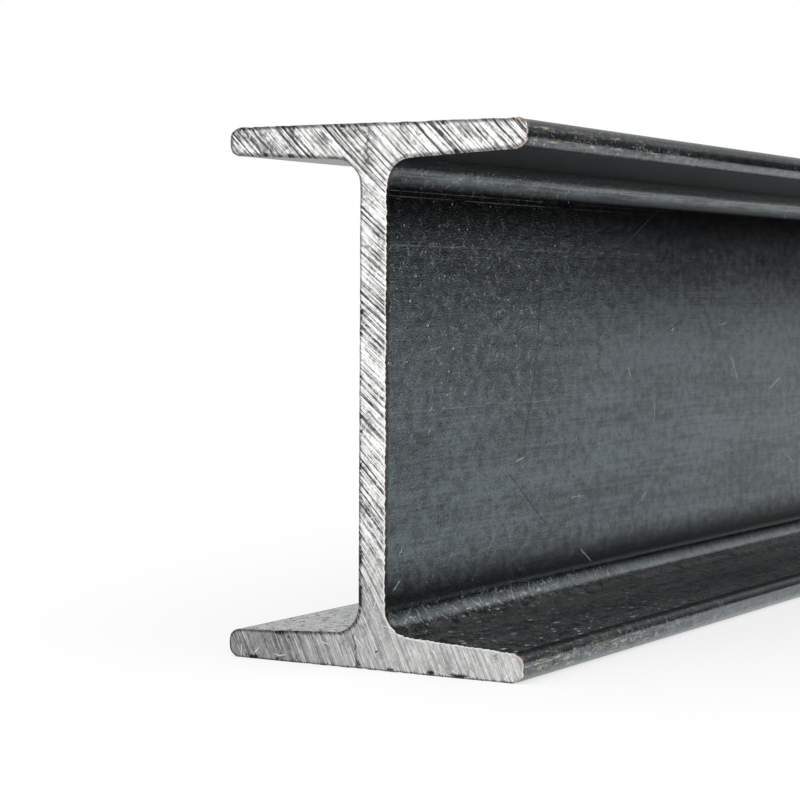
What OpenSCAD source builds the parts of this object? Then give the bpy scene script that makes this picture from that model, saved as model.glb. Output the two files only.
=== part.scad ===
// Rolled steel I-beam: one length of joist with tapered flanges, sawn square at both ends.
// Millimetres. X runs along the beam, Y across the flanges and Z up.
// The origin is at the middle of the underside.

/* [Stock] */

// Length of the sawn piece
beam_length = 609.6; // [100:0.1:6000]

/* [Section] */

// Depth of the section, from the underside to the top
section_depth = 101.6; // [60:0.1:200]

// Width across a flange, from toe to toe
flange_width = 63.5; // [35:0.1:120]

// Thickness of the web
web_thickness = 5.5; // [3:0.1:12]

// Thickness of a flange, halfway between the web and the toe
flange_thickness = 6.1; // [4:0.1:14]

// Fall of a flange's inner face from the web to the toe, in percent
flange_taper = 5; // [0:0.5:14]

/* [Edges] */

// Radius of the fillet between the web and a flange
root_radius = 5.4; // [1:0.1:12]

// Radius on each of the two edges of a flange's toe
toe_radius = 2.2; // [0.5:0.1:3]

/* [Hidden] */

$fa = 6;
$fs = 0.4;

// Colour of the steel as it leaves the mill
scale_grey = [0.17, 0.18, 0.2];

// Most of a toe's thickness that one of its two rounded edges can take up
toe_edge_share = 0.45;

// How far a fillet or an edge cutter reaches past the faces it meets
overlap = 0.5;

// Places in the section, measured from the middle of the web
web_face = web_thickness / 2;
toe_face = flange_width / 2;
outer_face = section_depth / 2;

// The inner face of a flange falls by half its taper on either side of the halfway point
outstand = toe_face - web_face;
half_fall = flange_taper / 100 * outstand / 2;
thickness_at_web = flange_thickness + half_fall;
thickness_at_toe = flange_thickness - half_fall;

// Corners of the upper right quarter before they are rounded
root_corner = [web_face, outer_face - thickness_at_web];
inner_toe = [toe_face, outer_face - thickness_at_toe];
outer_toe = [toe_face, outer_face];

// Directions of the edges that meet at those corners
outward = (inner_toe - root_corner) / norm(inner_toe - root_corner);
inward = -outward;
left = [-1, 0];
up = [0, 1];
down = [0, -1];

// Where the inner face of a flange leaves the section
channel_mouth = inner_toe + outward * overlap;

// Radii held to what the walls have room for
toe_edge_radius = min(toe_radius, toe_edge_share * thickness_at_toe);

// Patch between a corner and the arc that touches both of the edges leaving it
module corner_patch(corner, first, second, radius) {
    half_angle = acos(first * second) / 2;
    reach = radius / tan(half_angle);
    bisector = (first + second) / norm(first + second);
    centre = corner + bisector * radius / sin(half_angle);
    stretch = 1 + overlap / radius;
    difference() {
        polygon([
            centre,
            centre + (corner + first * reach - centre) * stretch,
            centre + (corner - centre) * stretch,
            centre + (corner + second * reach - centre) * stretch
        ]);
        translate(centre)
            circle(r = radius);
    }
}

// Draws its children in the four quarters of the section
module each_quarter() {
    for (across = [0, 1], over = [0, 1])
        mirror([across, 0])
            mirror([0, over])
                children();
}

// Space between the two flanges on one side of the web
module side_channel() {
    difference() {
        polygon([
            root_corner,
            channel_mouth,
            [channel_mouth.x, -channel_mouth.y],
            [root_corner.x, -root_corner.y]
        ]);
        for (over = [0, 1])
            mirror([0, over])
                corner_patch(root_corner, down, outward, root_radius);
    }
}

module section() {
    difference() {
        square([flange_width, section_depth], center = true);
        for (across = [0, 1])
            mirror([across, 0])
                side_channel();
        each_quarter() {
            corner_patch(inner_toe, up, inward, toe_edge_radius);
            corner_patch(outer_toe, down, left, toe_edge_radius);
        }
    }
}

module i_beam() {
    color(scale_grey)
        translate([-beam_length / 2, 0, outer_face])
            rotate([90, 0, 90])
                linear_extrude(height = beam_length)
                    section();
}

i_beam();
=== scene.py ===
import math
from functools import partial

import bpy
import numpy as np
from mathutils import Matrix, Vector, geometry, noise


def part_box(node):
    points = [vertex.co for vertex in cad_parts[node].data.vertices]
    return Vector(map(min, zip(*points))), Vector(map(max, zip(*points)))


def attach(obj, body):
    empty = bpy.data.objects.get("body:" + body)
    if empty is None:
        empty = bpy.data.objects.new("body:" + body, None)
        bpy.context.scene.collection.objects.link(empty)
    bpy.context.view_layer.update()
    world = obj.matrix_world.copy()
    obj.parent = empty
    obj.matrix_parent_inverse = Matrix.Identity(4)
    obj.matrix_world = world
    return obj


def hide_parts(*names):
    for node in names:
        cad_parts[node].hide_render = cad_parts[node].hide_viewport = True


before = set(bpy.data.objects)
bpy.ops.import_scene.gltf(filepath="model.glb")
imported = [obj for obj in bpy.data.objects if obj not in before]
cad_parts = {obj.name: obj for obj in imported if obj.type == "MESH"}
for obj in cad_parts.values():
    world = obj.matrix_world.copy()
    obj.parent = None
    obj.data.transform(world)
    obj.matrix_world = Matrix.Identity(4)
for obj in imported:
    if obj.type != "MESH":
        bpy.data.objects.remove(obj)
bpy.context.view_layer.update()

bl_info = {
    "name": "Rolled I-beam",
    "version": (1, 0, 0),
    "blender": (4, 5, 0),
    "location": "View3D > Sidebar > I-beam",
    "description": "A sawn length of rolled steel I-beam with mill scale, and a pale stage for it",
    "category": "Object",
}

BEAM_NODE = "i_beam"
BEAM_LOW, BEAM_HIGH = (Vector(corner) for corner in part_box(BEAM_NODE))
LENGTH = BEAM_HIGH.x - BEAM_LOW.x
WIDTH = BEAM_HIGH.y - BEAM_LOW.y
DEPTH = BEAM_HIGH.z - BEAM_LOW.z

MM = 0.001
SURFACE_MAP = "surface_map"
TOE = "toe"
RIM_GAP = "rim_gap"
LEAVING = "leaving"

# Kinds of settings that are used many times
Length = partial(bpy.props.FloatProperty, unit="LENGTH", precision=5)
Angle = partial(bpy.props.FloatProperty, subtype="ANGLE")
Colour = partial(bpy.props.FloatVectorProperty, subtype="COLOR", min=0, max=1)


class BeamSizes(bpy.types.PropertyGroup):
    """Sizes of the rolled section and of the marks left by the saw."""

    web_thickness: Length(name="Web", description="Thickness of the web", default=5.5 * MM)
    flange_thickness: Length(
        name="Flange", description="Thickness of a flange, halfway between the web and the toe",
        default=6.1 * MM)
    flange_taper: bpy.props.FloatProperty(
        name="Taper", description="Fall of a flange's inner face from the web to the toe",
        default=5.0, subtype="PERCENTAGE")
    root_radius: Length(
        name="Root radius", description="Radius between the web and a flange", default=5.4 * MM)
    toe_radius: Length(
        name="Toe radius", description="Radius on the edges of a flange's toe", default=2.2 * MM)
    saw_depth: Length(name="Saw marks", description="Depth of the marks on a sawn end", default=0.09 * MM)
    burr: Length(
        name="Burr", description="Height of the ragged edge where the saw leaves the steel",
        default=0.30 * MM)
    wave: Length(
        name="Rolling wave", description="How far the rolled faces wander from true", default=0.06 * MM)


class BeamColours(bpy.types.PropertyGroup):
    """Colours of the mill scale, the bare steel and the rust."""

    scale_dark: Colour(
        name="Dark scale", description="Mill scale at its darkest", default=(0.050, 0.062, 0.067))
    scale_pale: Colour(
        name="Pale scale", description="Mill scale at its palest", default=(0.120, 0.146, 0.157))
    fleck: Colour(
        name="Flecks", description="Scuffs and fibres on the scale", default=(0.46, 0.48, 0.48))
    # Bright and dull steel are also the lit and the shaded flanks of the painted shading of the saw marks
    # on the sawn ends
    steel_pale: Colour(
        name="Bright steel", description="Sawn steel on the ridges of the saw marks",
        default=(1.0, 1.0, 0.985))
    steel_dark: Colour(
        name="Dull steel", description="Sawn steel in the hollows of the saw marks",
        default=(0.075, 0.077, 0.079))
    # Soot: real black marks, and also painted shade along the roots of the web, under the top flange and
    # on the toe tops
    soot_and_shade: Colour(
        name="Soot", description="Blackened scale along the roots of the web",
        default=(0.006, 0.0066, 0.007))
    scorch: Colour(
        name="Scorch", description="Brown-black scale beside the cut, and cracks in the sawn steel",
        default=(0.022, 0.018, 0.015))
    grime: Colour(
        name="Grime", description="Dirt lying on the faces that look up", default=(0.118, 0.113, 0.101))
    dust: Colour(
        name="Specks", description="Bright specks of grit on the scale", default=(0.50, 0.52, 0.52))
    tan: Colour(
        name="Tan scratches", description="Scratches on the toes that have begun to rust",
        default=(0.50, 0.43, 0.27))
    rust: Colour(
        name="Rust", description="Rust on the toes and round the sawn edges", default=(0.30, 0.135, 0.050))
    rim_brown: Colour(
        name="Brown rim", description="Burnt brown along the sawn edge of a toe",
        default=(0.17, 0.098, 0.052))


class StageSettings(bpy.types.PropertyGroup):
    """The floor, the light and the viewpoint."""

    floor_colour: Colour(name="Floor", description="Colour of the floor", default=(0.90, 0.90, 0.90))
    room_light: bpy.props.FloatProperty(
        name="Room light", description="Strength of the light from all round", default=0.9)
    key_light: bpy.props.FloatProperty(
        name="Key lamp", description="Power of the large lamp above the sawn end",
        default=3.0, unit="POWER")
    lens: bpy.props.FloatProperty(name="Lens", description="Focal length", default=106.84, unit="CAMERA")
    camera_back: Length(
        name="Back", description="Distance of the camera in front of the sawn end", default=0.37785)
    camera_side: Length(
        name="Aside", description="Distance of the camera to the right of the web", default=0.22512)
    camera_height: Length(
        name="Height", description="Height of the camera above the floor", default=0.07038)
    camera_yaw: Angle(
        name="Turn", description="Turn of the view towards the web, from straight along the beam",
        default=math.radians(30.111))
    camera_pitch: Angle(
        name="Tilt", description="Tilt of the view, downwards", default=math.radians(2.601))
    camera_roll: Angle(name="Roll", description="Roll of the view", default=math.radians(0.296))


# Section outline

ARC_STEP = 0.4 * MM
FLAT_STEP = 0.55 * MM
TOE_FLAT_STEPS = 6


def section_corners(sizes):
    """Corners of the section in order from the underside, as (point, radius, is a toe)."""
    web_face = sizes.web_thickness / 2
    toe_face = WIDTH / 2
    half_fall = sizes.flange_taper / 100 * (toe_face - web_face) / 2
    at_web = sizes.flange_thickness + half_fall
    at_toe = sizes.flange_thickness - half_fall
    lower_right = (
        (toe_face, 0.0, sizes.toe_radius, True),
        (toe_face, at_toe, sizes.toe_radius, True),
        (web_face, at_web, sizes.root_radius, False),
    )
    right = lower_right + tuple((y, DEPTH - z, r, toe) for y, z, r, toe in reversed(lower_right))
    left = tuple((-y, z, r, toe) for y, z, r, toe in reversed(right))
    return [(Vector((y, z)), r, toe) for y, z, r, toe in right + left]


def corner_arc(before, corner, after, radius):
    """Points of the arc that rounds a corner."""
    back = (before - corner).normalized()
    ahead = (after - corner).normalized()
    half_angle = back.angle(ahead) / 2
    centre = corner + (back + ahead).normalized() * radius / math.sin(half_angle)
    reach = radius / math.tan(half_angle)
    start = corner + back * reach - centre
    sweep = start.angle_signed(corner + ahead * reach - centre)
    count = max(4, math.ceil(abs(sweep) * radius / ARC_STEP))
    return [centre + Matrix.Rotation(-sweep * i / count, 2) @ start for i in range(count + 1)]


def section_outline(sizes):
    """Outline of the section: its points, outward normals, distances round it, and 1 on the toes."""
    corners = section_corners(sizes)
    points, toes = [], []
    for i, (corner, radius, toe) in enumerate(corners):
        arc = corner_arc(corners[i - 1][0], corner, corners[(i + 1) % len(corners)][0], radius)
        if points:
            last = points[-1]
            count = max(1, math.ceil((arc[0] - last).length / FLAT_STEP))
            share = float(toe and toes[-1] == 1.0 and count < TOE_FLAT_STEPS)
            points += [last.lerp(arc[0], k / count) for k in range(1, count)]
            toes += [share] * (count - 1)
        points += arc
        toes += [float(toe)] * len(arc)
    last, first = points[-1], points[0]
    count = math.ceil((first - last).length / FLAT_STEP)
    points += [last.lerp(first, k / count) for k in range(1, count)]
    toes += [0.0] * (count - 1)

    outline = np.array([tuple(p) for p in points])
    ahead = np.roll(outline, -1, axis=0) - np.roll(outline, 1, axis=0)
    normal = np.column_stack((ahead[:, 1], -ahead[:, 0]))
    normal /= np.linalg.norm(normal, axis=1)[:, None]
    round_it = np.concatenate(([0.0], np.cumsum(np.linalg.norm(np.diff(outline, axis=0), axis=1))))
    return outline, normal, round_it, np.array(toes)


# Saw marks

# Heights up the end as shares of the depth, each with the slant of the saw lines there in degrees
SAW_LINE_ANGLES = ((0.0, 66), (0.1, 63), (0.28, 48), (0.5, 40), (0.75, 38), (0.9, 42), (1.0, 46))
SAW_TABLE_STEPS = 200

# Sizes of a cut's marks: sideways or across the saw lines, then up the end
COARSE_LINES = (1.5 * MM, 28 * MM)
FINE_LINES = (0.7 * MM, 16 * MM)
DENTS = (5 * MM, 5 * MM)
TOOTH_WANDER = (3 * MM, 9 * MM)
CHIPS = (1.7 * MM, 1.7 * MM)
TOOTH_PITCH = 1.25 * MM

# How soon an edge that turns sideways counts as one the saw leaves, and how far the underside does
LEAVING_GAIN = 12
UNDERSIDE_LEAVING = 0.3

# Numbers that make the marks of the two ends differ
NEAR_SEED = 1.5
FAR_SEED = 41.5


class SawCut:
    """Marks of one saw cut: lines that lean more steeply towards the foot of the end."""

    def __init__(self, side, seed, sizes):
        self.side = side
        self.seed = seed
        self.sizes = sizes
        shares, angles = zip(*SAW_LINE_ANGLES)
        self.heights = np.linspace(0, DEPTH, SAW_TABLE_STEPS)
        run = 1 / np.tan(np.radians(np.interp(self.heights / DEPTH, shares, angles)))
        step = self.heights[1]
        self.runs = np.concatenate(([0.0], np.cumsum((run[1:] + run[:-1]) / 2 * step)))

    def line_place(self, y, z):
        """Place across the saw lines; it is the same all along one line."""
        return self.side * y + np.interp(z, self.heights, self.runs)

    def rough(self, across, up, size, offset):
        """Noise with features of a given size, different for each cut and offset."""
        return noise.noise((across / size[0], up / size[1], self.seed + offset))

    def relief(self, y, z):
        """Height of the sawn surface, outwards along the beam."""
        across = float(self.line_place(y, z))
        coarse = self.rough(across, z, COARSE_LINES, 0)
        fine = self.rough(across, z, FINE_LINES, 7)
        dents = self.rough(y, z, DENTS, 13)
        return self.sizes.saw_depth * (0.55 * coarse + 0.35 * fine + 0.3 * dents)

    def leaving(self, normal):
        """1 on an edge where the saw's teeth leave the steel, 0 where they enter it."""
        share = min(1.0, max(0.0, LEAVING_GAIN * self.side * normal[0]))
        underside = normal[1] < -0.5
        return share * UNDERSIDE_LEAVING if underside else share

    def edge_shift(self, y, z, normal):
        """How far the sawn edge stands out of the section, as a burr, or is chipped into it."""
        across = float(self.line_place(y, z))
        pitch = across / TOOTH_PITCH + 0.6 * self.rough(across, z, TOOTH_WANDER, 21)
        tooth = pitch - math.floor(pitch)
        chip = self.rough(y, z, CHIPS, 34)
        lip = tooth * (0.12 + 0.88 * self.leaving(normal))
        return self.sizes.burr * (lip - 1.1 * max(0.0, chip - 0.15))


def inside_section(y, z, sizes):
    """Whether a point lies in the section, its root fillets included and its toe edges left sharp."""
    across = abs(y)
    up = min(z, DEPTH - z)
    web_face = sizes.web_thickness / 2
    middle = (WIDTH / 2 + web_face) / 2
    slope = sizes.flange_taper / 100
    surface = sizes.flange_thickness - slope * (across - middle)
    if up < 0 or across > WIDTH / 2:
        return False
    if across < web_face or up < surface:
        return True
    centre_across = web_face + sizes.root_radius
    centre_up = (sizes.flange_thickness - slope * (centre_across - middle)
                 + sizes.root_radius * math.hypot(1, slope))
    in_corner = across < centre_across and up < centre_up
    return in_corner and math.hypot(across - centre_across, up - centre_up) > sizes.root_radius


FACE_STEP = 0.42 * MM
ROW_RISE = 0.866
FACE_MARGIN = 0.3 * MM
TOE_MARGIN = 0.75 * MM
FILL_TOLERANCE = 1e-7


def face_points(sizes):
    """Points spread over a sawn end, clear of its outline, in staggered rows."""
    rows = int(DEPTH / (FACE_STEP * ROW_RISE))
    columns = int(WIDTH / FACE_STEP)
    around = [(math.cos(a), math.sin(a)) for a in np.linspace(0, math.tau, 8, endpoint=False)]
    points = []
    for row in range(1, rows):
        z = DEPTH * row / rows
        shift = 0.25 if row % 2 else -0.25
        for column in range(columns + 1):
            y = (column + shift) * FACE_STEP - WIDTH / 2
            near_toe = WIDTH / 2 - abs(y) < sizes.toe_radius
            margin = TOE_MARGIN if near_toe else FACE_MARGIN
            if all(inside_section(y + a * margin, z + b * margin, sizes) for a, b in around):
                points.append((y, z))
    return points


# Beam

END_STATIONS = (0.0, 0.18 * MM, 0.45 * MM, 1.0 * MM, 2.2 * MM, 5 * MM)
STATION_STEP = 11 * MM
EDGE_FADE = 0.6 * MM
WAVE_LENGTH = 70 * MM
WAVE_WIDTH = 40 * MM


def stations():
    """Distances along the beam at which the outline is repeated, closer together at the ends."""
    margin = END_STATIONS[-1]
    count = math.ceil((LENGTH - 2 * margin) / STATION_STEP)
    middle = np.linspace(BEAM_LOW.x + margin, BEAM_HIGH.x - margin, count + 1)
    near = [BEAM_LOW.x + d for d in END_STATIONS[:-1]]
    far = [BEAM_HIGH.x - d for d in reversed(END_STATIONS[:-1])]
    return np.concatenate((near, middle, far))


def rolled_rings(outline, normal, places, cuts, sizes):
    """Vertices of the rolled faces, ring by ring, with the sawn edges roughened."""
    near_cut, far_cut = cuts
    rings = np.empty((len(places), len(outline), 3))
    for i, (y, z) in enumerate(outline):
        ny, nz = normal[i]
        near_shift, far_shift = (cut.edge_shift(y, z, normal[i]) for cut in cuts)
        for k, x in enumerate(places):
            near_fade = math.exp(-((x - BEAM_LOW.x) / EDGE_FADE) ** 2)
            far_fade = math.exp(-((BEAM_HIGH.x - x) / EDGE_FADE) ** 2)
            wave = noise.noise((x / WAVE_LENGTH, y / WAVE_WIDTH, z / WAVE_WIDTH + 3))
            shift = near_fade * near_shift + far_fade * far_shift + sizes.wave * (wave - 0.5)
            rings[k, i] = (x, y + ny * shift, z + nz * shift)
        rings[0, i, 0] -= near_cut.relief(y, z)
        rings[-1, i, 0] += far_cut.relief(y, z)
    rings[:, :, 2] = np.maximum(rings[:, :, 2], 0.0)
    return rings


def sawn_faces(outline, sizes):
    """Points inside a sawn end and the triangles that fill its outline."""
    ring = [Vector(p) for p in outline]
    spread = [Vector(p) for p in face_points(sizes)]
    count = len(ring)
    edges = [(i, (i + 1) % count) for i in range(count)]
    points, _, faces, origins, _, _ = geometry.delaunay_2d_cdt(ring + spread, edges, [], 1, FILL_TOLERANCE)
    if len(points) != count + len(spread):
        raise RuntimeError("the sawn end could not be filled point for point")
    renumber = [origin[0] for origin in origins]
    triangles = [tuple(renumber[v] for v in face) for face in faces]
    return spread, triangles


def make_beam(sizes, colours):
    """The beam: rolled faces under mill scale, and a sawn face at each end."""
    outline, normal, round_it, toes = section_outline(sizes)
    places = stations()
    cuts = (SawCut(-1, NEAR_SEED, sizes), SawCut(1, FAR_SEED, sizes))
    rings = rolled_rings(outline, normal, places, cuts, sizes)
    around, along = len(outline), len(places)

    vertices = [rings.reshape(-1, 3)]
    faces = []
    maps = []
    perimeter = round_it[-1] + np.linalg.norm(outline[0] - outline[-1])
    turn = np.append(round_it, perimeter)
    for k in range(along - 1):
        for i in range(around):
            j = (i + 1) % around
            faces.append((k * around + i, k * around + j, (k + 1) * around + j, (k + 1) * around + i))
            maps += [(places[k], turn[i]), (places[k], turn[i + 1]),
                     (places[k + 1], turn[i + 1]), (places[k + 1], turn[i])]
    rolled_count = len(faces)

    spread, triangles = sawn_faces(outline, sizes)
    total = along * around
    for cut, x, ring_start in ((cuts[0], BEAM_LOW.x, 0), (cuts[1], BEAM_HIGH.x, total - around)):
        inner = [(x + cut.side * cut.relief(*p), p[0], p[1]) for p in spread]
        start = sum(len(block) for block in vertices)
        vertices.append(np.array(inner))
        flat = list(outline) + [tuple(p) for p in spread]
        for triangle in triangles:
            ordered = triangle if cut.side > 0 else triangle[::-1]
            faces.append(tuple(ring_start + v if v < around else start + v - around for v in ordered))
            maps += [(float(cut.line_place(*flat[v])) + cut.seed, flat[v][1]) for v in ordered]

    mesh = bpy.data.meshes.new("i_beam_steel")
    mesh.from_pydata(np.concatenate(vertices).tolist(), [], faces)
    mesh.polygons.foreach_set("use_smooth", [True] * len(faces))
    mesh.polygons.foreach_set("material_index", [0] * rolled_count + [1] * (len(faces) - rolled_count))
    layer = mesh.uv_layers.new(name=SURFACE_MAP)
    layer.data.foreach_set("uv", np.array(maps, dtype=np.float32).ravel())
    gap, nearest = gap_to_outline(spread, outline)
    leaving = [np.array([cut.leaving(n) for n in normal]) for cut in cuts]
    rolled_leaving = [leaving[0] if x < 0 else leaving[1] for x in places]
    give_values(mesh, TOE, np.tile(toes, along), np.tile(toes[nearest], 2))
    give_values(mesh, RIM_GAP, np.zeros(total), np.tile(gap, 2))
    sawn_leaving = [cut[nearest] for cut in leaving]
    give_values(mesh, LEAVING, np.concatenate(rolled_leaving), np.concatenate(sawn_leaving))
    mark_sharp_rims(mesh, around, total)
    mesh.validate()
    mesh.materials.append(MillScale(colours).material)
    mesh.materials.append(SawnSteel(colours).material)

    beam = bpy.data.objects.new("i_beam_steel", mesh)
    bpy.context.scene.collection.objects.link(beam)
    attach(beam, "root")
    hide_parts(BEAM_NODE)


def gap_to_outline(spread, outline):
    """Each inner point's distance from the nearest outline point, and that point's number."""
    points = np.array([tuple(p) for p in spread])
    distances = np.linalg.norm(points[:, None, :] - outline[None, :, :], axis=2)
    nearest = distances.argmin(axis=1)
    return distances[np.arange(len(points)), nearest], nearest


def give_values(mesh, name, rolled, sawn):
    """Stores one number for each vertex of the rolled faces, then of the sawn faces."""
    layer = mesh.attributes.new(name, "FLOAT", "POINT")
    layer.data.foreach_set("value", np.concatenate((rolled, sawn)).astype(np.float32))


def mark_sharp_rims(mesh, around, total):
    """Keeps the shading crisp where the sawn ends meet the rolled faces."""
    last = total - around
    sharp = mesh.attributes.new("sharp_edge", "BOOLEAN", "EDGE")
    ends = np.empty(len(mesh.edges) * 2, dtype=np.int32)
    mesh.edges.foreach_get("vertices", ends)
    first, second = ends.reshape(-1, 2).T
    gap = np.abs(first - second)
    neighbours = (gap == 1) | (gap == around - 1)
    on_near = (first < around) & (second < around)
    on_far = (first >= last) & (second >= last) & (first < total) & (second < total)
    sharp.data.foreach_set("value", neighbours & (on_near | on_far))


# Node trees

class Output:
    """The output of a node in a tree. Numbers and places can be added, subtracted and multiplied."""

    def __init__(self, nodes, socket):
        self.nodes = nodes
        self.socket = socket

    def __add__(self, other):
        return self.sum("ADD", other)

    def __sub__(self, other):
        return self.sum("SUBTRACT", other)

    def __mul__(self, other):
        return self.sum("MULTIPLY", other)


class Number(Output):
    """A number that nodes work out."""

    def sum(self, operation, *others):
        """The number that a Math node makes of this one and others."""
        return self.nodes.calc(operation, self, *others)

    def __rsub__(self, other):
        return self.nodes.calc("SUBTRACT", other, self)

    def __truediv__(self, other):
        return self.sum("DIVIDE", other)

    def __pow__(self, other):
        return self.sum("POWER", other)

    def __abs__(self):
        return self.sum("ABSOLUTE")

    def clamped(self):
        """The same sum, held between 0 and 1."""
        self.socket.node.use_clamp = True
        return self

    def step(self, low, high, kind="SMOOTHSTEP"):
        """0 below low and 1 above high, or the other way round where low is above high."""
        inputs = {"Value": self, "From Min": low, "From Max": high}
        return self.nodes.number("ShaderNodeMapRange", inputs, "Result", interpolation_type=kind)

    def band(self, low, full_from, full_to, high):
        """1 within a band of values, fading to 0 on either side of it."""
        return self.step(low, full_from) * self.step(high, full_to)


def most(value, *others):
    """The largest of some numbers."""
    for other in others:
        value = value.sum("MAXIMUM", other)
    return value


class Place(Output):
    """Coordinates that nodes work out, and the patterns that can be laid over them."""

    def sum(self, operation, other):
        """The coordinates that a Vector Math node makes of these and others."""
        return self.nodes.place("ShaderNodeVectorMath", {0: self, 1: other}, operation=operation)

    def dot(self, other):
        """How far the place lies along a direction."""
        inputs = {0: self, 1: other}
        return self.nodes.number("ShaderNodeVectorMath", inputs, "Value", operation="DOT_PRODUCT")

    def axis(self, name):
        """The place along one axis."""
        return self.nodes.number("ShaderNodeSeparateXYZ", {"Vector": self}, name)

    def stretch(self, x, y, z=1.0, offset=(0, 0, 0)):
        """Coordinates stretched along each axis, then moved."""
        inputs = {"Vector": self, "Scale": (x, y, z), "Location": offset}
        return self.nodes.place("ShaderNodeMapping", inputs)

    def cloud(self, size, offset=(0, 0, 0), detail=3.0, roughness=0.6, distortion=0.0):
        """Noise in the range 0 to 1, with features of a given size along each axis."""
        placed = self.stretch(*(1 / length for length in size), offset=offset)
        inputs = {"Vector": placed, "Scale": 1.0, "Detail": detail, "Roughness": roughness,
                  "Distortion": distortion}
        return self.nodes.number("ShaderNodeTexNoise", inputs, "Fac")

    def swing(self, size, detail, reach):
        """Small moves to and fro that bend a pattern."""
        inputs = {"Vector": self, "Scale": 1 / size, "Detail": detail}
        return (self.nodes.place("ShaderNodeTexNoise", inputs, "Color") - (0.5, 0.5, 0.5)) * reach

    def wavy_lines(self, size, width, offset):
        """Thin curling lines, where a noise crosses its middle."""
        spread = self.cloud((size, size), offset, 1.5, 0.5)
        return abs(spread - 0.5).step(width, 0.2 * width)

    def dots(self, spacing, size, shift=(0, 0)):
        """Round specks of mixed sizes, one in each cell of a broken grid."""
        inputs = {"Vector": self + (*shift, 0), "Scale": 1 / spacing}
        grid, (_, chance, _) = self.nodes.cells(inputs, "2D")
        return (grid["Distance"] - chance ** 2.5 * (size / spacing)).step(0.0, -0.02)

    def short_marks(self, spacing, length, width, share, shift=(0, 0)):
        """Scattered short straight marks."""
        group = bpy.data.node_groups.get("short_marks") or short_marks_group()
        inputs = {"Vector": self + (*shift, 0), "Spacing": spacing, "Length": length, "Width": width,
                  "Share": share}
        return self.nodes.number("ShaderNodeGroup", inputs, "Mark", node_tree=group)

    def scratch(self, start, end, width):
        """One straight scratch that fades at its two ends."""
        run = Vector(end) - Vector(start)
        length = run.length
        ahead = run / length
        offset = self - (*start, 0)
        on_width = abs(offset.dot((-ahead.y, ahead.x, 0))).step(width, 0.2 * width)
        return on_width * offset.dot((*ahead, 0)).band(0.0, 0.15 * length, 0.85 * length, length)


class Nodes:
    """A node tree, and the ways in which nodes are added to it."""

    def __init__(self, tree):
        self.tree = tree

    def feed(self, socket, value):
        """Joins an input to an output, or sets it to a value."""
        if isinstance(value, Output):
            value = value.socket
        if isinstance(value, bpy.types.NodeSocket):
            self.tree.links.new(value, socket)
        else:
            socket.default_value = value

    def add(self, kind, inputs=None, **settings):
        """A node with its settings, and its inputs set to values or joined to outputs."""
        node = self.tree.nodes.new(kind)
        for name, value in settings.items():
            setattr(node, name, value)
        for name, value in (inputs or {}).items():
            self.feed(node.inputs[name], value)
        return node

    def number(self, kind, inputs=None, output=0, **settings):
        """The number that a new node gives."""
        return Number(self, self.add(kind, inputs, **settings).outputs[output])

    def place(self, kind, inputs=None, output=0, **settings):
        """The coordinates that a new node gives."""
        return Place(self, self.add(kind, inputs, **settings).outputs[output])

    def calc(self, operation, *values):
        """A sum worked out by a Math node."""
        return self.number("ShaderNodeMath", dict(enumerate(values)), operation=operation)

    def blend(self, share, low, high):
        """Two colours mixed."""
        low, high = (c if isinstance(c, Output) else (*c, 1.0) for c in (low, high))
        mix = self.add("ShaderNodeMix", {0: share, 6: low, 7: high}, data_type="RGBA")
        return Output(self, mix.outputs[2])

    def cells(self, inputs, dimensions):
        """A broken grid's outputs by name, and the three chances of each cell."""
        grid = self.add("ShaderNodeTexVoronoi", inputs, voronoi_dimensions=dimensions)
        outputs = {socket.name: Number(self, socket) for socket in grid.outputs}
        chances = self.add("ShaderNodeSeparateColor", {"Color": outputs["Color"]}).outputs
        return outputs, [Number(self, chance) for chance in chances]


def short_marks_group():
    """Node group that scatters short straight marks, one in each cell of a broken grid."""
    group = bpy.data.node_groups.new("short_marks", "ShaderNodeTree")
    group.interface.new_socket("Vector", in_out="INPUT", socket_type="NodeSocketVector")
    numbers = ("Spacing", "Length", "Width", "Share")
    for name in numbers:
        group.interface.new_socket(name, in_out="INPUT", socket_type="NodeSocketFloat")
    group.interface.new_socket("Mark", in_out="OUTPUT", socket_type="NodeSocketFloat")
    nodes = Nodes(group)
    given = nodes.add("NodeGroupInput").outputs
    place = Place(nodes, given["Vector"])
    spacing, length, width, share = (Number(nodes, given[name]) for name in numbers)

    scale = nodes.calc("DIVIDE", 1.0, spacing)
    grid, (turn, draw, size) = nodes.cells({"Vector": place, "Scale": scale}, "2D")
    offset = place - grid["Position"]
    x, y = offset.axis("X"), offset.axis("Y")
    angle = turn * math.tau
    cosine, sine = angle.sum("COSINE"), angle.sum("SINE")
    along = abs(x * cosine + y * sine)
    across = abs(y * cosine - x * sine)
    on_length = (1.0 - along / (length * (size * 0.4 + 0.1))).clamped()
    on_width = (1.0 - across / width).clamped()
    mark = on_width * draw.sum("LESS_THAN", share) * on_length ** 0.5
    nodes.feed(nodes.add("NodeGroupOutput").inputs["Mark"], mark)
    return group


def empty_material(name):
    """A material, its nodes and the input of its output, to which nothing is joined yet."""
    material = bpy.data.materials.new(name)
    material.use_nodes = True
    nodes = Nodes(material.node_tree)
    nodes.tree.nodes.clear()
    return material, nodes, nodes.add("ShaderNodeOutputMaterial").inputs["Surface"]


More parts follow.
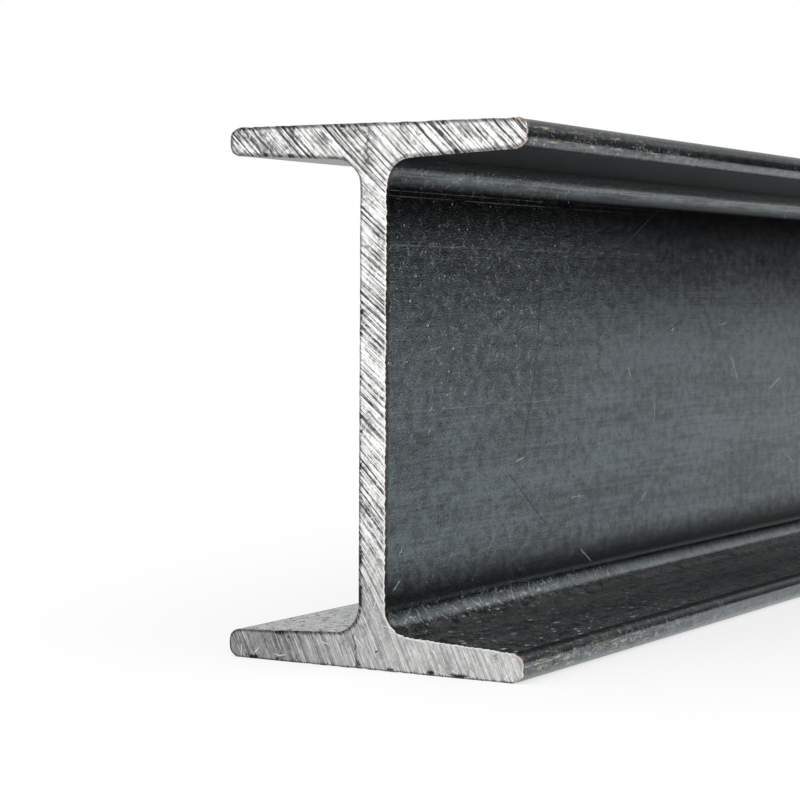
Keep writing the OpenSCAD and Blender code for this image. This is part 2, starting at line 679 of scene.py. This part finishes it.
class Finish(Nodes):
    """A finish in the making: its nodes, its shader and the colour laid on so far."""

    def __init__(self, name, colours):
        self.material, nodes, output = empty_material(name)
        super().__init__(nodes.tree)
        self.shader = self.add("ShaderNodeBsdfPrincipled")
        self.feed(output, self.shader.outputs["BSDF"])
        self.colours = colours
        self.colour = None
        self.surface = self.place("ShaderNodeUVMap", uv_map=SURFACE_MAP)
        self.position = self.place("ShaderNodeTexCoord", output="Object")
        self.height = self.position.axis("Z")

    def stored(self, name):
        """A number stored on the mesh."""
        return self.number("ShaderNodeAttribute", output="Fac", attribute_name=name)

    def plane(self, x, y):
        """Flat coordinates made of two numbers."""
        return self.place("ShaderNodeCombineXYZ", {"X": x, "Y": y})

    def lay(self, name, share):
        """Lays a colour over what is there."""
        self.colour = self.blend(share, self.colour, getattr(self.colours, name))

    def bump(self, relief, strength, distance):
        """Slope of relief too fine for the mesh."""
        inputs = {"Strength": strength, "Distance": distance, "Height": relief}
        return self.place("ShaderNodeBump", inputs, "Normal")

    def give(self, inputs):
        """Sets the shader's inputs, or joins them."""
        for name, value in inputs.items():
            self.feed(self.shader.inputs[name], value)


# Marks on the steel

# Short straight marks: spacing, greatest length and half the width in metres, the share of the cells that
# have one, and a shift that sets two patterns apart
FIBRES = (0.0030, 0.0034, 0.00017, 0.4)
FINE_FIBRES = (0.0012, 0.0018, 0.00012, 0.7, (0.0313, 0.0171))
SCORES = (0.034, 0.030, 0.00016, 0.55)
SCRAPES = (0.018, 0.009, 0.00014, 0.45, (0.0523, 0.0119))
TICKS = (0.0040, 0.0050, 0.00018, 0.6, (0.0417, 0.0233))
KNOCKS = (0.0026, 0.0032, 0.00022, 0.7)
FOOT_NICKS = (0.0026, 0.0036, 0.00028, 0.65, (0.0271, 0.0353))
END_NICKS = (0.0040, 0.0040, 0.00014, 0.6, (0.2, 0.3))

# Round specks: spacing and largest radius in metres, and a shift
SPECKS = (0.0023, 0.00027)
PITS = (0.0020, 0.00030, (0.037, 0.041))
RUST_DOTS = (0.0016, 0.0005, (0.011, 0.007))
CRUMBS = (0.0022, 0.00030, (0.019, 0.023))
SAND = (0.0016, 0.00046)
END_PITS = (0.0050, 0.00032)

# Scratches on the right of the web: start and end, as distances from the near end and from the floor,
# then half the width, all in metres, the strength and the colour
WEB_SCRATCHES = (
    ((0.0640, 0.0720), (0.0617, 0.0544), 0.00055, 0.44, "soot_and_shade"),
    ((0.0619, 0.0560), (0.0565, 0.0390), 0.00055, 0.44, "soot_and_shade"),
    ((0.0480, 0.0350), (0.0680, 0.0212), 0.00032, 0.58, "soot_and_shade"),
    ((0.1072, 0.0541), (0.1089, 0.0514), 0.00040, 0.45, "tan"),
    ((0.1676, 0.0554), (0.1724, 0.0488), 0.00060, 0.22, "fleck"),
    ((0.1927, 0.0459), (0.2010, 0.0490), 0.00060, 0.25, "fleck"),
    ((0.0525, 0.0358), (0.0570, 0.0366), 0.00026, 0.60, "fleck"),
    ((0.0154, 0.0590), (0.0228, 0.0602), 0.00020, 0.45, "fleck"),
    ((0.0034, 0.0146), (0.0063, 0.0164), 0.00020, 0.70, "fleck"),
    ((0.0834, 0.0154), (0.0894, 0.0118), 0.00030, 0.45, "fleck"),
)

# Pale lines left by the rolls: height and half the width in metres, and the strength
ROLL_LINES = (
    (0.0892, 0.00012, 0.32),
    (0.0882, 0.00014, 0.42),
    (0.0791, 0.00024, 0.22),
    (0.0479, 0.00020, 0.15),
)

# Thin cracks where the web runs into a flange: start and end, across and up, and half the width, in metres
END_SEAMS = (
    ((0.0043, 0.0070), (0.0025, -0.0010)),
    ((0.0008, 0.1015), (0.0014, 0.0935)),
)
SEAM_WIDTH = 0.00026


# Mill scale

# Heights in metres between which a mark comes in
STREAKS_FADE = (0.044, 0.060)
UPPER_HALF = (0.040, 0.056)
# Painted shade: the black band on the upper web, under the top flange
UPPER_SHADE = (0.0775, 0.0880)
UPPER_SHADE_END = (0.0926, 0.0898)
# Painted shade: the black band on the web above the fillet of the foot
LOWER_SHADE = (0.0205, 0.0125)
LOWER_SHADE_END = (0.0096, 0.0120)
SHADE_WANDER = 0.004
SHADE_NARROWING = 0.0020
TOP_FILLET = (0.0893, 0.0908)
FOOT = (0.0120, 0.0098)
FOOT_FILLET = (0.0067, 0.0076, 0.0098, 0.0112)
SHELTERED = (0.03, 0.02)

# Distances in metres from a sawn end between which a mark comes in
HANDLED = (0.13, 0.04)
ROLL_LINES_SHOW = (0.16, 0.05)
RUSTING = (0.065, 0.015)
RIM_WANDER = 0.0036
RIM = (-0.0002, -0.0008)
LIP = (0.00018, 0.00004)

# How far a face looks up, or for the last one to the left: a finish comes in between the values
UNDERSIDE = (-0.60, -0.97)
VERTICAL = (0.6, 0.2)
LEVEL = (0.6, 0.95)
TOE_TOP = (0.0, 0.5)
TURNING_IN = (-0.97, -0.80, -0.15, 0.0)
RIGHT_FACE = (-0.80, -0.95)


class MillScale(Finish):
    """Blue-grey mill scale with mottling, roll lines, scuffs, specks and rust on the toes, and painted
    shade at the web's roots, under the top flange and on the toe tops.
    """

    def __init__(self, colours):
        super().__init__("mill_scale", colours)
        self.find_faces()
        self.mottle = self.surface.cloud((0.0032, 0.0026), (3, 7, 0), 4.0, 0.65)
        self.grain = self.surface.cloud((0.00042, 0.00036), (11, 5, 0))
        self.rolling = self.surface.cloud((0.024, 0.0007), (2, 9, 0))
        self.thick = self.surface.cloud((0.0024, 0.0020), (8, 3, 0), 2.0)
        self.turned = self.surface.swing(0.0011, 1.0, (0.0021, 0.0021, 0.0))
        self.bent = self.surface + self.turned
        self.lay_ground()
        self.lay_shade_and_grit()
        self.lay_scuffs()
        self.lay_stray_marks()
        self.lay_web_lines()
        self.lay_toe_marks()
        self.lay_rims()
        self.lay_dirt()
        self.set_shine()

    def find_faces(self):
        """Which way a face looks, and how near it is to a sawn end."""
        normal = self.place("ShaderNodeNewGeometry", output="Normal")
        self.facing_up = normal.axis("Z")
        self.right_face = normal.axis("Y").step(*RIGHT_FACE)
        self.underside = self.facing_up.step(*UNDERSIDE)
        self.sideways = abs(self.facing_up).step(*VERTICAL)
        self.toe = self.stored(TOE)
        self.toe_top = self.toe * self.facing_up.step(*TOE_TOP)
        self.toe_face = self.toe * self.sideways
        self.level = (self.facing_up.step(*LEVEL) - self.toe).clamped()
        self.upper_half = self.height.step(*UPPER_HALF) * 0.75 + 0.25
        self.to_end = LENGTH / 2 - abs(self.surface.axis("X"))
        self.handled = self.to_end.step(*HANDLED) * 0.86 + 0.14
        self.coarseness = self.handled * 1.2 + 0.25

    def lay_ground(self):
        """Pale and dark patches, with streaks along the beam in the lower half."""
        blotches = self.surface.cloud((0.045, 0.016), distortion=0.4)
        bands = self.surface.cloud((0.30, 0.009), (4, 8, 0), 2.0, 0.5)
        streaked = 0.22 - self.height.step(*STREAKS_FADE) * 0.14
        streaks = (self.rolling - 0.5) * streaked + 0.11
        self.depth = blotches * 0.19 + self.mottle * 0.42 + streaks + bands * 0.18
        share = self.depth.step(0.40, 0.60)
        self.colour = self.blend(share, self.colours.scale_dark, self.colours.scale_pale)

    def lay_shade_and_grit(self):
        """Painted shade: black bands beside the root fillets, a black underside and dark toe tops; then
        dark streaks on the top fillet, and grit.
        """
        uneven = self.height + (self.mottle - 0.5) * SHADE_WANDER
        narrowed = uneven + (self.handled - 1.0) * SHADE_NARROWING
        self.upper_painted_shade = narrowed.step(*UPPER_SHADE) * self.height.step(*UPPER_SHADE_END)
        self.lower_painted_shade = uneven.step(*LOWER_SHADE) * self.height.step(*LOWER_SHADE_END)
        # Painted shade: the two bands, the underside of the top flange and the tops of the toes are laid
        # black
        self.painted_shade = most(self.upper_painted_shade * 0.97, self.lower_painted_shade * 0.92,
                          self.underside * 0.9, self.toe_top * 0.8)
        dark_grit = self.grain.step(0.45, 0.30) * self.coarseness * 0.5
        self.lay("soot_and_shade", most(self.painted_shade, dark_grit))
        top_fillet = self.height.step(*TOP_FILLET) * self.facing_up.band(*TURNING_IN)
        self.lay("soot_and_shade", top_fillet * self.rolling.step(0.50, 0.40) * 0.65)
        pale_grit = self.grain.step(0.55, 0.74) * self.coarseness * 0.30
        self.lay("fleck", pale_grit * (1.0 - self.painted_shade * 0.90))

    def lay_scuffs(self):
        """Short pale fibres and curls, mostly near the ends."""
        fibres = self.bent.short_marks(*FIBRES)
        fine_fibres = self.bent.short_marks(*FINE_FIBRES)
        curls = self.surface.wavy_lines(0.0012, 0.022, (6, 2, 0)) * self.thick.step(0.50, 0.62)
        scuffs = most(fibres, fine_fibres * 0.75, curls * 0.8)
        patchy = self.mottle.step(0.36, 0.60) * 0.55 + 0.12
        showing = 1.0 - self.painted_shade * 0.60
        rubbed_here = self.handled * (self.height.step(*FOOT) * 2.0 + self.upper_half)
        self.scuff_share = (scuffs * patchy * showing * rubbed_here).clamped()
        self.felt = (scuffs * showing * rubbed_here).clamped()
        self.lay("fleck", self.scuff_share)

    def lay_stray_marks(self):
        """Long scores and scrapes, specks of grit, dark ticks and pits."""
        self.scores = self.surface.short_marks(*SCORES)
        self.lay("soot_and_shade", self.scores * 0.7)
        scrapes = self.bent.short_marks(*SCRAPES)
        self.lay("fleck", scrapes * 0.8)
        near_end = self.handled * 0.85 + 0.15
        dusty = self.thick.step(0.47, 0.57) * near_end * self.upper_half
        self.specks = self.surface.dots(*SPECKS) * dusty
        self.lay("dust", self.specks)
        ticks = self.bent.short_marks(*TICKS)
        self.lay("soot_and_shade", ticks * near_end * 0.55)
        self.lay("soot_and_shade", self.surface.dots(*PITS) * 0.8)

    def lay_web_lines(self):
        """Pale broken lines along the web, left by the rolls, and single scratches on its right."""
        broken = self.surface.cloud((0.016, 0.002), roughness=0.55).step(0.38, 0.50)
        fading = broken * self.to_end.step(*ROLL_LINES_SHOW)
        for line_height, width, share in ROLL_LINES:
            on_line = abs(self.height - line_height).step(width, 0.3 * width)
            self.lay("fleck", on_line * fading * share)
        from_end = self.position.axis("X") - BEAM_LOW.x
        on_web = self.plane(from_end, self.height) + self.turned * (0.3, 0.3, 0)
        for start, end, width, share, tone in WEB_SCRATCHES:
            mark = on_web.scratch(start, end, width) * self.right_face
            self.lay(tone, mark * share)

    def lay_toe_marks(self):
        """Lengthwise rubs and crosswise knocks on the toes, and nicks on the foot's fillets."""
        lengthwise = (self.surface + self.turned * (0.35, 0.35, 0)).cloud((0.0060, 0.0005), (7, 1, 0))
        rubbed = self.toe_face * lengthwise.step(0.54, 0.64)
        self.lay("fleck", rubbed * self.handled * 0.50)
        self.lay("tan", rubbed * self.to_end.step(*RUSTING) * 0.80)
        knocks = self.bent.stretch(2.5, 1.0, offset=(0.093, 0.029, 0)).short_marks(*KNOCKS)
        self.lay("fleck", knocks * self.toe * (self.handled * 0.6 + 0.4) * 0.7)
        nicks = self.bent.short_marks(*FOOT_NICKS)
        self.nicked = nicks * self.height.band(*FOOT_FILLET) * self.handled
        self.lay("dust", self.nicked * 0.9)

    def lay_rims(self):
        """Scorched and rusty scale beside the cuts, rust on the toes, and the bright lip of the burr."""
        rust_noise = self.surface.cloud((0.0060, 0.0022), (1, 4, 0), 5.0, 0.7)
        rust_dots = self.surface.dots(*RUST_DOTS) * rust_noise.step(0.54, 0.61)
        rust_spots = most(rust_noise.step(0.62, 0.70), rust_dots)
        toe_rust = (self.toe - self.toe_top * 0.7) * rust_spots
        rim = (self.to_end - self.mottle * RIM_WANDER).step(*RIM)
        rim_rust = rim * rust_noise.step(0.46, 0.56) * (self.toe * 0.70 + 0.10)
        self.rusty = most(toe_rust * 0.75, rim_rust)
        self.lay("scorch", rim * 0.90)
        self.lay("rust", self.rusty)
        lip = self.to_end.step(*LIP) * self.stored(LEAVING).step(0.2, 0.6)
        self.lay("steel_pale", lip * 0.9)

    def lay_dirt(self):
        """Black hollows, grime, crumbs of rust and grains of sand on the faces that look up."""
        self.hollows = self.level * self.mottle.step(0.46, 0.36)
        crazing = self.surface.wavy_lines(0.0036, 0.034, (2, 4, 0))
        self.crazing = crazing * self.level * self.thick.step(0.42, 0.56)
        self.lay("soot_and_shade", most(self.hollows * 0.65, self.crazing * 0.8))
        self.grime = self.level * self.depth.step(0.42, 0.54) * 0.48
        self.lay("grime", self.grime)
        crumbs = self.surface.dots(*CRUMBS)
        self.lay("tan", crumbs * self.level * 0.7)
        grains = self.surface.stretch(0.4, 1.0, offset=(0.027, 0.031, 0)).dots(*SAND)
        sheltered = self.height.step(*SHELTERED) * 0.75 + 0.25
        self.sand = grains * self.level * self.handled * sheltered * self.thick.step(0.41, 0.51)
        self.lay("dust", self.sand)

    def set_shine(self):
        """Joins the colour, the metal, the roughness and the relief to the shader."""
        matt = most(self.rusty, self.grime, self.sand,
                    self.scuff_share * 0.45, self.nicked * 0.7, self.specks * 0.7)
        black = most(self.upper_painted_shade, self.lower_painted_shade, self.toe_top)
        gloss = self.mottle * 0.12 + 0.12 + most(self.underside, self.toe_top) * 0.15 + self.hollows * 0.08
        relief = (self.grain * 0.25 + self.mottle * 0.36) * self.coarseness
        relief += self.rolling * 0.06 + self.felt * 0.18
        relief -= self.crazing * 0.30 + self.scores * 0.12 + self.hollows * 0.40
        self.give({
            "Base Color": self.colour,
            "Metallic": (1.0 - matt).clamped(),
            # Painted shade: the shade bands and toe tops, and the upright faces other than the toe faces,
            # reflect less
            "Specular Tint": 1.0 - (self.sideways - self.toe_face) * 0.22 - black * 0.15,
            "Roughness": most(
                gloss, self.rusty * 0.65, self.grime * 0.50, self.crazing * 0.75, self.felt * 0.40),
            "Normal": self.bump(relief, 0.35, 0.00025),
        })


# Sawn steel

# Heights in metres between which a change up the sawn end comes in
PALE_FROM = (0.004, 0.038)
TOP_FLANGE = (0.084, 0.096)
WIDE_RIM = (0.003, 0.006, 0.015, 0.03)

# Distances in metres from the middle of the web between which a change comes in
PALER_FOOT = (0.018, 0.006)
SMEARED = (0.011, 0.003)
LEFT_FLANGE = (0.003, 0.016)

# Distances in metres from the outline between which a mark of the rim comes in
END_RIM_WANDER = 0.0014
DARK_RIM = (0.00052, 0.00022)
CHIPPED_RIM = (0.0010, 0.0006)
PALE_RIM = (0.00026, 0.00006)
STAINED_RIM = (0.0010, 0.0004)

# Saw lines: spacing in metres, and a number that sets them apart from the others
COARSE_TEETH = (0.00115, 0.0)
FINE_TEETH = (0.00045, 31.7)
HAIRS = (0.0013, 77.3)
LINE_WANDER = 0.0009


class SawnSteel(Finish):
    """Bright sawn steel: streaks along the saw lines, nicks, cracks, pits and stained rims."""

    def __init__(self, colours):
        super().__init__("sawn_steel", colours)
        self.sideways = self.position.axis("Y")
        self.off_middle = abs(self.sideways)
        self.on_end = self.plane(self.sideways, self.height)
        self.upper = self.height.step(*PALE_FROM)
        self.top = self.height.step(*TOP_FLANGE)
        self.smeared = self.top * self.off_middle.step(*SMEARED)
        wobble = self.surface.cloud((0.0016, 0.010))
        self.across = self.surface.axis("X") + (wobble - 0.5) * LINE_WANDER
        self.coarse = self.saw_teeth(*COARSE_TEETH)
        self.fine = self.saw_teeth(*FINE_TEETH)
        self.grit = self.surface.cloud((0.00026, 0.0024), (9, 6, 0), roughness=0.65)
        self.blotch = self.position.cloud((0.004,) * 3, detail=4.0, roughness=0.65)
        self.lay_saw_lines()
        self.lay_marks()
        self.lay_rim()
        self.set_shine()

    def line_cells(self, spacing, seed):
        """Place across the saw lines in spacings, with a broken row of cells and their chances."""
        place = self.across * (1 / spacing) + seed
        return place, *self.cells({"W": place, "Scale": 1.0}, "1D")

    def saw_teeth(self, spacing, seed):
        """Brightness of tooth marks side by side, as painted shading: each is dark on one flank, as if in
        shade, and pale on the other, as if lit.
        """
        place, row, chances = self.line_cells(spacing, seed)
        return 1.0 - chances[0] * (1.0 - (place - row["W"]).step(-0.42, 0.22))

    def thin_lines(self, spacing, seed, width):
        """Fine lines at uneven spacings; the width is a share of the spacing."""
        row = self.line_cells(spacing, seed)[1]
        return row["Distance"].step(width, 0.3 * width)

    def lay_saw_lines(self):
        """Streaks from dark to pale; the paler level and the stronger contrast towards the top and to the
        right are painted light.
        """
        speckle = self.position.cloud((0.0005,) * 3, detail=2.0)
        streak = self.coarse * (self.upper * 0.20 + 0.32) + 0.18 - self.upper * 0.18
        streak += self.fine * 0.38 + self.grit.step(0.36, 0.64) * 0.35
        streak += self.blotch - 0.5 + (speckle - 0.5) * 0.55
        sharp = streak.step(0.55, 1.20, "LINEAR") - 0.5

        # Painted light: the level is paler towards the top and to the right (-Y), and darker on the upper
        # left flange, as light falls on the end; the contrast grows towards the top and the right
        to_right = self.sideways.step(WIDTH / 2, -WIDTH / 2)
        paler = self.off_middle.step(*PALER_FOOT) * 0.06
        foot_level = to_right * 0.34 + 0.15 + paler
        level = foot_level + self.upper * (0.30 - to_right * 0.12 - paler)
        level -= self.upper * self.sideways.step(*LEFT_FLANGE) * 0.11 + self.smeared * 0.05
        contrast = to_right * 0.16 + 0.23 + self.upper * 0.90 + self.top * 0.25 - self.smeared * 0.55
        hairs = self.thin_lines(*HAIRS, 0.075) * self.grit.step(0.40, 0.55)
        lifted = sharp * contrast + level + hairs * (self.upper * 0.15 + 0.28)
        self.colour = self.blend(lifted.clamped(), self.colours.steel_dark, self.colours.steel_pale)

    def lay_marks(self):
        """Bright nicks, then dark cracks and pits."""
        self.lay("steel_pale", self.on_end.short_marks(*END_NICKS) * 0.8)
        cracked = (self.blotch - self.smeared * 0.12).step(0.42, 0.34)
        cracks = self.on_end.wavy_lines(0.0020, 0.016, (3, 5, 0)) * cracked
        ragged = self.on_end + self.position.swing(0.0014, 2.0, (0.0024,) * 3)
        seams = [ragged.scratch(start, end, SEAM_WIDTH) for start, end in END_SEAMS]
        self.lay("scorch", most(cracks, self.on_end.dots(*END_PITS), *seams) * 0.8)

    def lay_rim(self):
        """A dark chipped rim where the saw enters, a pale one where it leaves, and brown toes."""
        gap = self.stored(RIM_GAP) + (self.grit - 0.5) * END_RIM_WANDER
        leaving = self.stored(LEAVING).step(0.15, 0.55)
        widening = 1.0 - self.height.band(*WIDE_RIM) * 0.42 - self.top * 0.42
        broken = self.fine.step(0.80, 0.55) * 0.35 + 0.65
        chipped = gap.step(*CHIPPED_RIM) * self.blotch.step(0.45, 0.38)
        dark_rim = most((gap * widening).step(*DARK_RIM) * broken, chipped)
        self.lay("scorch", dark_rim * (1.0 - leaving) * 0.97)
        self.lay("steel_pale", gap.step(*PALE_RIM) * leaving * 0.7)
        stained = self.blotch.step(0.42, 0.54) * (leaving * 0.70 + 0.20) * (self.upper * 0.65 + 0.35)
        self.lay("rim_brown", gap.step(*STAINED_RIM) * self.stored(TOE) * stained)

    def set_shine(self):
        """Joins the colour, the roughness and the relief to the shader."""
        relief = self.fine * 0.25 + self.grit * 0.25 + self.coarse * 0.5
        self.give({
            "Base Color": self.colour,
            "Metallic": 1.0,
            "Roughness": self.coarse * 0.2 + 0.24,
            "Normal": self.bump(relief, 0.5, 0.0002),
        })


# Stage

# Half the floor's side in metres, and the share of its colour that takes the shadow
FLOOR_REACH = 30.0
FLOOR_SHADE = 0.4


def seen_directly(nodes):
    """1 for rays from the eye, or by way of a reflection or a clear material."""
    path = nodes.add("ShaderNodeLightPath").outputs
    rays = ("Is Camera Ray", "Is Glossy Ray", "Is Transmission Ray")
    return most(*(Number(nodes, path[name]) for name in rays))


def sheet(name, corners, material):
    """A flat four-cornered piece of the stage."""
    mesh = bpy.data.meshes.new(name)
    mesh.from_pydata(corners, [], [(0, 1, 2, 3)])
    mesh.materials.append(material)
    piece = bpy.data.objects.new(name, mesh)
    bpy.context.scene.collection.objects.link(piece)
    return piece


def make_floor(stage):
    """A wide pale floor that keeps the beam's shadow."""
    material, nodes, output = empty_material("floor_white")
    matt = nodes.add("ShaderNodeBsdfDiffuse", {"Color": (*stage.floor_colour, 1.0)})
    soft_shade = [channel * FLOOR_SHADE for channel in stage.floor_colour]
    shade = nodes.add("ShaderNodeBsdfDiffuse", {"Color": (*soft_shade, 1.0)})
    white = [1.0 - channel * stage.room_light for channel in soft_shade]
    glow = nodes.add("ShaderNodeEmission", {"Color": (*white, 1.0), "Strength": 1.0})
    shown = nodes.add("ShaderNodeAddShader", {0: shade.outputs[0], 1: glow.outputs[0]})
    inputs = {0: seen_directly(nodes), 1: matt.outputs[0], 2: shown.outputs[0]}
    nodes.feed(output, nodes.add("ShaderNodeMixShader", inputs).outputs[0])
    r = FLOOR_REACH
    floor = sheet("floor", [(-r, -r, 0), (r, -r, 0), (r, r, 0), (-r, r, 0)], material)


def make_world(stage):
    """A white room: plain soft light from all round, and white behind the beam."""
    world = bpy.data.worlds.new("white_room")
    bpy.context.scene.world = world
    world.use_nodes = True
    nodes = Nodes(world.node_tree)
    nodes.tree.nodes.clear()
    output = nodes.add("ShaderNodeOutputWorld").inputs["Surface"]
    inputs = {"Value": seen_directly(nodes), "To Min": stage.room_light, "To Max": 1.0}
    strength = nodes.number("ShaderNodeMapRange", inputs, "Result")
    light = nodes.add("ShaderNodeBackground", {"Color": (1, 1, 1, 1), "Strength": strength})
    nodes.feed(output, light.outputs[0])


def make_lamp(name, place, aim, size, power):
    """A square soft lamp aimed at a point."""
    lamp = bpy.data.lights.new(name, "AREA")
    lamp.shape = "SQUARE"
    lamp.size = size
    lamp.energy = power
    holder = bpy.data.objects.new(name, lamp)
    holder.location = place
    holder.rotation_euler = (Vector(aim) - Vector(place)).to_track_quat("-Z", "Y").to_euler()
    bpy.context.scene.collection.objects.link(holder)


# Sizes and place of the card in metres
CARD_WIDTH = 1.9
CARD_LOW = 0.060
CARD_HIGH = 1.2
CARD_DARK_TO = 0.09
CARD_PLACE = (1.85, -1.15)
CARD_TURN = math.radians(-29)


def make_card():
    """A graded card out of the picture, dark at its foot and white at its top, for the steel to mirror."""
    material, nodes, output = empty_material("card_grey")
    height = nodes.place("ShaderNodeTexCoord", output="Object").axis("Z")
    brightness = height.step(CARD_DARK_TO, CARD_HIGH)
    glow = nodes.add("ShaderNodeEmission", {"Color": (1, 1, 1, 1), "Strength": brightness})
    nodes.feed(output, glow.outputs[0])
    half = CARD_WIDTH / 2
    corners = [(0, -half, CARD_LOW), (0, half, CARD_LOW), (0, half, CARD_HIGH), (0, -half, CARD_HIGH)]
    card = sheet("graded_card", corners, material)
    card.matrix_world = Matrix.Translation((*CARD_PLACE, 0)) @ Matrix.Rotation(CARD_TURN, 4, "Z")
    card.visible_camera = False
    card.visible_diffuse = False
    card.visible_shadow = False


def make_camera(stage):
    """The camera, placed from the middle of the sawn end's foot."""
    camera = bpy.data.cameras.new("camera")
    camera.lens = stage.lens
    camera.clip_start = 0.01
    holder = bpy.data.objects.new("camera", camera)
    turn = Matrix.Rotation(stage.camera_yaw - math.pi / 2, 4, "Z")
    tilt = Matrix.Rotation(math.pi / 2 - stage.camera_pitch, 4, "X")
    roll = Matrix.Rotation(stage.camera_roll, 4, "Z")
    place = Vector((BEAM_LOW.x - stage.camera_back, -stage.camera_side, stage.camera_height))
    holder.matrix_world = Matrix.Translation(place) @ turn @ tilt @ roll
    bpy.context.scene.collection.objects.link(holder)
    bpy.context.scene.camera = holder


# Place of the lamp from the top of the sawn end, and its side, in metres
KEY_OFFSET = (-0.9, 0.55, 0.75)
KEY_SIZE = 0.9


def make_stage(stage):
    """Camera, floor, room light, graded card and lamp."""
    make_camera(stage)
    make_floor(stage)
    make_world(stage)
    make_card()
    end = Vector((BEAM_LOW.x, 0, DEPTH))
    make_lamp("key", end + Vector(KEY_OFFSET), end, KEY_SIZE, stage.key_light)
    bpy.context.scene.view_settings.view_transform = "Standard"


# Operators and panel

class IBEAM_OT_make_beam(bpy.types.Operator):
    """Make the rolled beam with its mill scale and sawn ends"""

    bl_idname = "ibeam.make_beam"
    bl_label = "Make beam"

    def execute(self, context):
        make_beam(context.scene.ibeam_sizes, context.scene.ibeam_colours)
        return {"FINISHED"}


class IBEAM_OT_make_stage(bpy.types.Operator):
    """Make the pale floor, the light, the graded card and the camera"""

    bl_idname = "ibeam.make_stage"
    bl_label = "Make stage"

    def execute(self, context):
        make_stage(context.scene.ibeam_stage)
        return {"FINISHED"}


OPERATORS = (IBEAM_OT_make_stage, IBEAM_OT_make_beam)


class VIEW3D_PT_ibeam(bpy.types.Panel):
    """Sizes, colours and steps of the beam"""

    bl_label = "I-beam"
    bl_space_type = "VIEW_3D"
    bl_region_type = "UI"
    bl_category = "I-beam"

    def draw(self, context):
        scene = context.scene
        for group in (scene.ibeam_sizes, scene.ibeam_colours, scene.ibeam_stage):
            box = self.layout.box()
            for name in group.__annotations__:
                box.prop(group, name)
        for operator in OPERATORS:
            self.layout.operator(operator.bl_idname)


CLASSES = (BeamSizes, BeamColours, StageSettings, *OPERATORS, VIEW3D_PT_ibeam)


def register():
    for cls in CLASSES:
        bpy.utils.register_class(cls)
    bpy.types.Scene.ibeam_sizes = bpy.props.PointerProperty(type=BeamSizes)
    bpy.types.Scene.ibeam_colours = bpy.props.PointerProperty(type=BeamColours)
    bpy.types.Scene.ibeam_stage = bpy.props.PointerProperty(type=StageSettings)


def unregister():
    del bpy.types.Scene.ibeam_stage
    del bpy.types.Scene.ibeam_colours
    del bpy.types.Scene.ibeam_sizes
    for cls in reversed(CLASSES):
        bpy.utils.unregister_class(cls)


def main():
    register()
    bpy.ops.ibeam.make_stage()
    bpy.ops.ibeam.make_beam()


if __name__ == "__main__":
    main()
